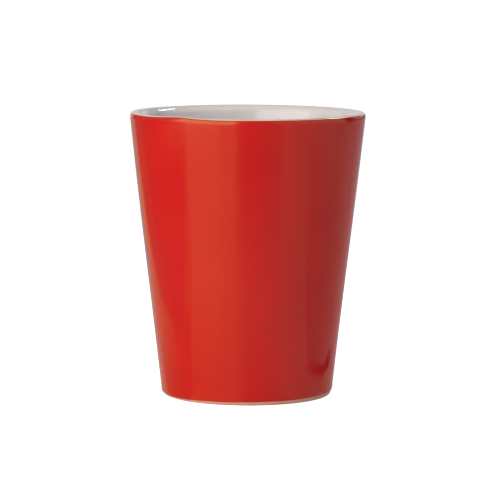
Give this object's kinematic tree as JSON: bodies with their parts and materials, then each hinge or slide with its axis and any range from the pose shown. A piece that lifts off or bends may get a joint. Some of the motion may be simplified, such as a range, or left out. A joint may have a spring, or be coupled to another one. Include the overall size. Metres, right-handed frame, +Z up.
{
  "type": "handleless cup",
  "caption": "Straight tapered clay cup without a handle, glazed red outside and white inside over a bare clay foot ring, for tea and other drinks.",
  "frame": {"origin": "on the cup's axis, at the centre of the foot ring's flat face, where it meets the table", "axes": "+Z up along the cup's axis, towards the mouth; the cup is round about Z, so X and Y may point anywhere"},
  "size_m": [0.08, 0.08, 0.0968],
  "materials": {
    "clay": "matt fired clay, buff to salmon, with fine grog",
    "red_glaze": "high gloss, smooth",
    "white_glaze": "high gloss, smooth",
    "rim_glaze": "thin gloss over the clay"
  },
  "bodies": {
    "root": {"clay_body": "clay", "outer_glaze": "red_glaze", "inner_glaze": "white_glaze", "rim_glaze": "rim_glaze", "underside_glaze": "white_glaze"}
  },
  "joints": []
}
